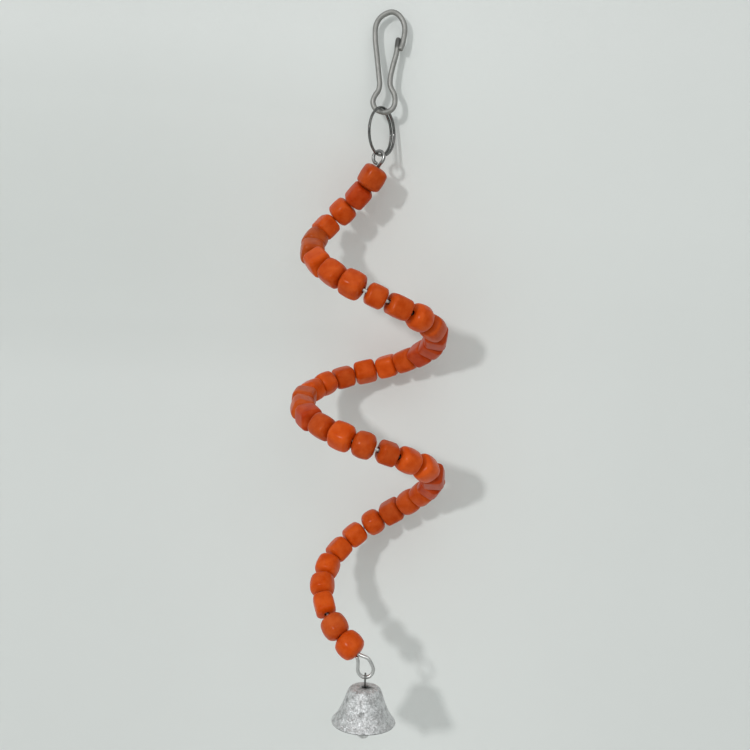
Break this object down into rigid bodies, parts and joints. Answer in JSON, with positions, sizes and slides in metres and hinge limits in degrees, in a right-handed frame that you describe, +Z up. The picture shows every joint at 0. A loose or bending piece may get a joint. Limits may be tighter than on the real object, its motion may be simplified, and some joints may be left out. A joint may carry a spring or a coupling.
{
  "type": "spiral bird perch",
  "caption": "Hanging perch toy for small cage birds: a wire snap hook and split ring, a stiff wire spiral threaded with rounded wooden cube beads, and a small bell below.",
  "frame": {"origin": "the point inside the top of the hook that rests on the nail or bar it hangs from", "axes": "+X to the right as the picture shows it, +Y to the back, toward the wall or the cage bars, +Z up along the hanging line"},
  "size_m": [0.0689, 0.0695, 0.3094],
  "materials": {
    "hook_nickel": "nickel-plated spring wire, slightly dulled",
    "ring_nickel": "bright nickel plate",
    "spiral_steel": "drawn steel wire, semi-bright",
    "bead_paint": "orange paint, satin, with small tint differences from bead to bead",
    "bell_cast": "cast, silver, with a fine glittering speckle",
    "bell_steel": "thin dark steel wire"
  },
  "bodies": {
    "hook": {"hook_wire": "hook_nickel"},
    "gate": {"gate_arm": "hook_nickel"},
    "ring": {"split_ring": "ring_nickel"},
    "spiral": {"spiral_wire": "spiral_steel"},
    "bell": {"bell_wire": "bell_steel", "bell_shell": "bell_cast"},
    "clapper": {"clapper_wire": "bell_steel", "clapper_ball": "bell_steel"},
    "bead_01": {"bead_01": "bead_paint"},
    "bead_02": {"bead_02": "bead_paint"},
    "bead_03": {"bead_03": "bead_paint"},
    "bead_04": {"bead_04": "bead_paint"},
    "bead_05": {"bead_05": "bead_paint"},
    "bead_06": {"bead_06": "bead_paint"},
    "bead_07": {"bead_07": "bead_paint"},
    "bead_08": {"bead_08": "bead_paint"},
    "bead_09": {"bead_09": "bead_paint"},
    "bead_10": {"bead_10": "bead_paint"},
    "bead_11": {"bead_11": "bead_paint"},
    "bead_12": {"bead_12": "bead_paint"},
    "bead_13": {"bead_13": "bead_paint"},
    "bead_14": {"bead_14": "bead_paint"},
    "bead_15": {"bead_15": "bead_paint"},
    "bead_16": {"bead_16": "bead_paint"},
    "bead_17": {"bead_17": "bead_paint"},
    "bead_18": {"bead_18": "bead_paint"},
    "bead_19": {"bead_19": "bead_paint"},
    "bead_20": {"bead_20": "bead_paint"},
    "bead_21": {"bead_21": "bead_paint"},
    "bead_22": {"bead_22": "bead_paint"},
    "bead_23": {"bead_23": "bead_paint"},
    "bead_24": {"bead_24": "bead_paint"},
    "bead_25": {"bead_25": "bead_paint"},
    "bead_26": {"bead_26": "bead_paint"},
    "bead_27": {"bead_27": "bead_paint"},
    "bead_28": {"bead_28": "bead_paint"},
    "bead_29": {"bead_29": "bead_paint"},
    "bead_30": {"bead_30": "bead_paint"},
    "bead_31": {"bead_31": "bead_paint"},
    "bead_32": {"bead_32": "bead_paint"},
    "bead_33": {"bead_33": "bead_paint"},
    "bead_34": {"bead_34": "bead_paint"},
    "bead_35": {"bead_35": "bead_paint"},
    "bead_36": {"bead_36": "bead_paint"},
    "bead_37": {"bead_37": "bead_paint"},
    "bead_38": {"bead_38": "bead_paint"},
    "bead_39": {"bead_39": "bead_paint"},
    "bead_40": {"bead_40": "bead_paint"},
    "bead_41": {"bead_41": "bead_paint"},
    "bead_42": {"bead_42": "bead_paint"},
    "bead_43": {"bead_43": "bead_paint"},
    "bead_44": {"bead_44": "bead_paint"}
  },
  "joints": [
    {"name": "gate_flex", "type": "hinge", "parent": "hook", "child": "gate", "pos_m": [0.00326, 0, -0.03662], "axis": [0, -1, 0], "range_deg": [0, 12], "stiffness_Nm_per_rad": 0.02},
    {"name": "ring_swing", "type": "hinge", "parent": "hook", "child": "ring", "pos_m": [-0.00144, 0, -0.0426], "axis": [1, 0, 0], "range_deg": [-30, 30]},
    {"name": "spiral_swing", "type": "hinge", "parent": "ring", "child": "spiral", "pos_m": [-0.00281, 0.00079, -0.06095], "axis": [0.5, 0.866, 0], "range_deg": [-30, 30]},
    {"name": "bell_swing", "type": "hinge", "parent": "spiral", "child": "bell", "pos_m": [0.0008, -0.01619, -0.28156], "axis": [1, 0, 0], "range_deg": [-35, 35]},
    {"name": "clapper_swing", "type": "hinge", "parent": "bell", "child": "clapper", "pos_m": [0.0008, -0.01619, -0.28985], "axis": [0, 1, 0], "range_deg": [-30, 30]},
    {"name": "turn_bead_01", "type": "hinge", "parent": "spiral", "child": "bead_01", "pos_m": [-0.00523, 0.00275, -0.07056], "axis": [0.4972, -0.2121, 0.8413], "continuous": true},
    {"name": "turn_bead_02", "type": "hinge", "parent": "spiral", "child": "bead_02", "pos_m": [-0.01108, 0.00606, -0.07831], "axis": [0.6159, -0.3979, 0.6799], "continuous": true},
    {"name": "turn_bead_03", "type": "hinge", "parent": "spiral", "child": "bead_03", "pos_m": [-0.01796, 0.00933, -0.0852], "axis": [0.711, -0.179, 0.68], "continuous": true},
    {"name": "turn_bead_04", "type": "hinge", "parent": "spiral", "child": "bead_04", "pos_m": [-0.0249, 0.0085, -0.09244], "axis": [0.5933, 0.3672, 0.7164], "continuous": true},
    {"name": "turn_bead_05", "type": "hinge", "parent": "spiral", "child": "bead_05", "pos_m": [-0.02906, 0.00238, -0.09924], "axis": [0.2069, 0.7737, 0.5988], "continuous": true},
    {"name": "turn_bead_06", "type": "hinge", "parent": "spiral", "child": "bead_06", "pos_m": [-0.02929, -0.00613, -0.10487], "axis": [-0.155, 0.8468, 0.5089], "continuous": true},
    {"name": "turn_bead_07", "type": "hinge", "parent": "spiral", "child": "bead_07", "pos_m": [-0.02599, -0.0144, -0.1099], "axis": [-0.4801, 0.7381, 0.4741], "continuous": true},
    {"name": "turn_bead_08", "type": "hinge", "parent": "spiral", "child": "bead_08", "pos_m": [-0.01962, -0.02083, -0.11467], "axis": [-0.7432, 0.4931, 0.4521], "continuous": true},
    {"name": "turn_bead_09", "type": "hinge", "parent": "spiral", "child": "bead_09", "pos_m": [-0.01111, -0.02424, -0.11919], "axis": [-0.8891, 0.17, 0.425], "continuous": true},
    {"name": "turn_bead_10", "type": "hinge", "parent": "spiral", "child": "bead_10", "pos_m": [-0.00062, -0.02435, -0.12385], "axis": [-0.9129, -0.149, 0.38], "continuous": true},
    {"name": "turn_bead_11", "type": "hinge", "parent": "spiral", "child": "bead_11", "pos_m": [0.00953, -0.0209, -0.128], "axis": [-0.8287, -0.4439, 0.3409], "continuous": true},
    {"name": "turn_bead_12", "type": "hinge", "parent": "spiral", "child": "bead_12", "pos_m": [0.01809, -0.01428, -0.13185], "axis": [-0.6383, -0.6954, 0.3302], "continuous": true},
    {"name": "turn_bead_13", "type": "hinge", "parent": "spiral", "child": "bead_13", "pos_m": [0.02339, -0.00621, -0.1353], "axis": [-0.3791, -0.8602, 0.3411], "continuous": true},
    {"name": "turn_bead_14", "type": "hinge", "parent": "spiral", "child": "bead_14", "pos_m": [0.02564, 0.00309, -0.13893], "axis": [-0.055, -0.9298, 0.3639], "continuous": true},
    {"name": "turn_bead_15", "type": "hinge", "parent": "spiral", "child": "bead_15", "pos_m": [0.02455, 0.01254, -0.14273], "axis": [0.263, -0.8902, 0.3721], "continuous": true},
    {"name": "turn_bead_16", "type": "hinge", "parent": "spiral", "child": "bead_16", "pos_m": [0.02039, 0.02111, -0.14653], "axis": [0.5357, -0.7625, 0.3628], "continuous": true},
    {"name": "turn_bead_17", "type": "hinge", "parent": "spiral", "child": "bead_17", "pos_m": [0.01371, 0.028, -0.15015], "axis": [0.7539, -0.5639, 0.337], "continuous": true},
    {"name": "turn_bead_18", "type": "hinge", "parent": "spiral", "child": "bead_18", "pos_m": [0.00508, 0.03246, -0.15341], "axis": [0.9104, -0.2911, 0.2941], "continuous": true},
    {"name": "turn_bead_19", "type": "hinge", "parent": "spiral", "child": "bead_19", "pos_m": [-0.00465, 0.03377, -0.15631], "axis": [0.9611, 0.041, 0.273], "continuous": true},
    {"name": "turn_bead_20", "type": "hinge", "parent": "spiral", "child": "bead_20", "pos_m": [-0.01425, 0.03162, -0.15915], "axis": [0.8844, 0.3712, 0.2831], "continuous": true},
    {"name": "turn_bead_21", "type": "hinge", "parent": "spiral", "child": "bead_21", "pos_m": [-0.02246, 0.02634, -0.16221], "axis": [0.6985, 0.6444, 0.3112], "continuous": true},
    {"name": "turn_bead_22", "type": "hinge", "parent": "spiral", "child": "bead_22", "pos_m": [-0.02837, 0.01863, -0.16547], "axis": [0.44, 0.839, 0.32], "continuous": true},
    {"name": "turn_bead_23", "type": "hinge", "parent": "spiral", "child": "bead_23", "pos_m": [-0.03136, 0.0094, -0.16876], "axis": [0.1369, 0.9385, 0.3168], "continuous": true},
    {"name": "turn_bead_24", "type": "hinge", "parent": "spiral", "child": "bead_24", "pos_m": [-0.03112, -0.00033, -0.17196], "axis": [-0.1841, 0.9344, 0.3051], "continuous": true},
    {"name": "turn_bead_25", "type": "hinge", "parent": "spiral", "child": "bead_25", "pos_m": [-0.02767, -0.00946, -0.17509], "axis": [-0.48, 0.8229, 0.304], "continuous": true},
    {"name": "turn_bead_26", "type": "hinge", "parent": "spiral", "child": "bead_26", "pos_m": [-0.0214, -0.01693, -0.17823], "axis": [-0.7269, 0.6149, 0.3059], "continuous": true},
    {"name": "turn_bead_27", "type": "hinge", "parent": "spiral", "child": "bead_27", "pos_m": [-0.01299, -0.02185, -0.18137], "axis": [-0.8924, 0.3342, 0.3031], "continuous": true},
    {"name": "turn_bead_28", "type": "hinge", "parent": "spiral", "child": "bead_28", "pos_m": [-0.0034, -0.02371, -0.18446], "axis": [-0.9546, 0.026, 0.2969], "continuous": true},
    {"name": "turn_bead_29", "type": "hinge", "parent": "spiral", "child": "bead_29", "pos_m": [0.00744, -0.02212, -0.18788], "axis": [-0.9071, -0.295, 0.3], "continuous": true},
    {"name": "turn_bead_30", "type": "hinge", "parent": "spiral", "child": "bead_30", "pos_m": [0.01613, -0.01773, -0.19112], "axis": [-0.7652, -0.5521, 0.3311], "continuous": true},
    {"name": "turn_bead_31", "type": "hinge", "parent": "spiral", "child": "bead_31", "pos_m": [0.02281, -0.0109, -0.19481], "axis": [-0.514, -0.765, 0.388], "continuous": true},
    {"name": "turn_bead_32", "type": "hinge", "parent": "spiral", "child": "bead_32", "pos_m": [0.02634, -0.00236, -0.19916], "axis": [-0.167, -0.8748, 0.4549], "continuous": true},
    {"name": "turn_bead_33", "type": "hinge", "parent": "spiral", "child": "bead_33", "pos_m": [0.0263, 0.00662, -0.20407], "axis": [0.167, -0.8532, 0.4941], "continuous": true},
    {"name": "turn_bead_34", "type": "hinge", "parent": "spiral", "child": "bead_34", "pos_m": [0.02314, 0.01488, -0.20927], "axis": [0.4372, -0.7393, 0.5122], "continuous": true},
    {"name": "turn_bead_35", "type": "hinge", "parent": "spiral", "child": "bead_35", "pos_m": [0.01752, 0.02161, -0.2146], "axis": [0.6473, -0.5552, 0.5222], "continuous": true},
    {"name": "turn_bead_36", "type": "hinge", "parent": "spiral", "child": "bead_36", "pos_m": [0.01003, 0.02602, -0.22004], "axis": [0.7919, -0.291, 0.5369], "continuous": true},
    {"name": "turn_bead_37", "type": "hinge", "parent": "spiral", "child": "bead_37", "pos_m": [0.00159, 0.02744, -0.22568], "axis": [0.8298, 0.017, 0.5578], "continuous": true},
    {"name": "turn_bead_38", "type": "hinge", "parent": "spiral", "child": "bead_38", "pos_m": [-0.00662, 0.0257, -0.23156], "axis": [0.7489, 0.317, 0.5819], "continuous": true},
    {"name": "turn_bead_39", "type": "hinge", "parent": "spiral", "child": "bead_39", "pos_m": [-0.01348, 0.0211, -0.23763], "axis": [0.5692, 0.5672, 0.5952], "continuous": true},
    {"name": "turn_bead_40", "type": "hinge", "parent": "spiral", "child": "bead_40", "pos_m": [-0.01806, 0.01431, -0.2438], "axis": [0.3089, 0.7357, 0.6028], "continuous": true},
    {"name": "turn_bead_41", "type": "hinge", "parent": "spiral", "child": "bead_41", "pos_m": [-0.01968, 0.00634, -0.25004], "axis": [0.004, 0.7948, 0.6069], "continuous": true},
    {"name": "turn_bead_42", "type": "hinge", "parent": "spiral", "child": "bead_42", "pos_m": [-0.01815, -0.00164, -0.25628], "axis": [-0.298, 0.7391, 0.6041], "continuous": true},
    {"name": "turn_bead_43", "type": "hinge", "parent": "spiral", "child": "bead_43", "pos_m": [-0.01303, -0.00924, -0.2632], "axis": [-0.5752, 0.5612, 0.5952], "continuous": true},
    {"name": "turn_bead_44", "type": "hinge", "parent": "spiral", "child": "bead_44", "pos_m": [-0.0062, -0.01385, -0.26931], "axis": [-0.7377, 0.3249, 0.5918], "continuous": true}
  ]
}
